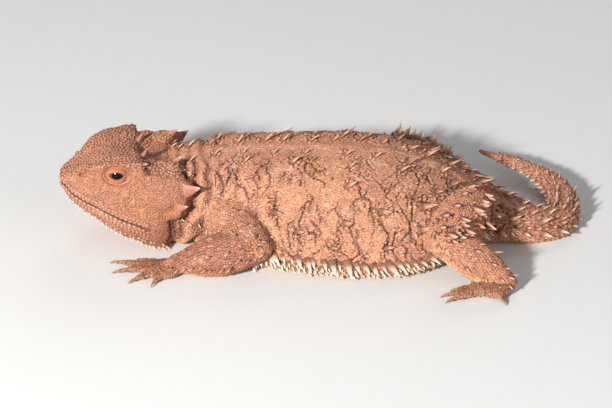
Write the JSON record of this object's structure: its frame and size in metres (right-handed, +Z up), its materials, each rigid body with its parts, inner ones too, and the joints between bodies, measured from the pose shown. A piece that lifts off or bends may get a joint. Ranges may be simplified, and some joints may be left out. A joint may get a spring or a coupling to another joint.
{
  "type": "horned lizard",
  "caption": "Life-size still model of a greater short-horned lizard, flat and spiny, crouched with its tail curled to one side.",
  "frame": {"origin": "middle of the underside, on the floor under the middle of the bounding box", "axes": "+X from the head to the tail, +Y to the animal's right, +Z up"},
  "size_m": [0.1072, 0.0658, 0.0209],
  "materials": {
    "head_skin": "dry, finely granular scaly skin, orange tan",
    "body_skin": "dry, wrinkled scaly skin, salmon tan with cream fringe scales",
    "tail_skin": "dry scaly skin, reddish brown with white side spines",
    "limb_skin": "dry scaly skin, orange tan, yellowish under the toes",
    "horn": "matt horn, pinkish tan with pale tips",
    "eye": "wet, glossy, dark pupil in a red-brown iris"
  },
  "bodies": {
    "root": {"head": "head_skin", "neck": "body_skin", "torso": "body_skin", "tail_base": "tail_skin", "tail_bend": "tail_skin", "tail_middle": "tail_skin", "tail_tip": "tail_skin", "left_eye": "eye", "right_eye": "eye", "left_occipital_horn": "horn", "right_occipital_horn": "horn", "left_upper_temporal_horn": "horn", "right_upper_temporal_horn": "horn", "left_main_temporal_horn": "horn", "right_main_temporal_horn": "horn", "left_lower_temporal_horn": "horn", "right_lower_temporal_horn": "horn", "left_upper_arm": "limb_skin", "left_forearm": "limb_skin", "left_hand": "limb_skin", "right_upper_arm": "limb_skin", "right_forearm": "limb_skin", "right_hand": "limb_skin", "left_thigh": "limb_skin", "left_shank": "limb_skin", "left_foot": "limb_skin", "right_thigh": "limb_skin", "right_shank": "limb_skin", "right_foot": "limb_skin"}
  },
  "joints": []
}
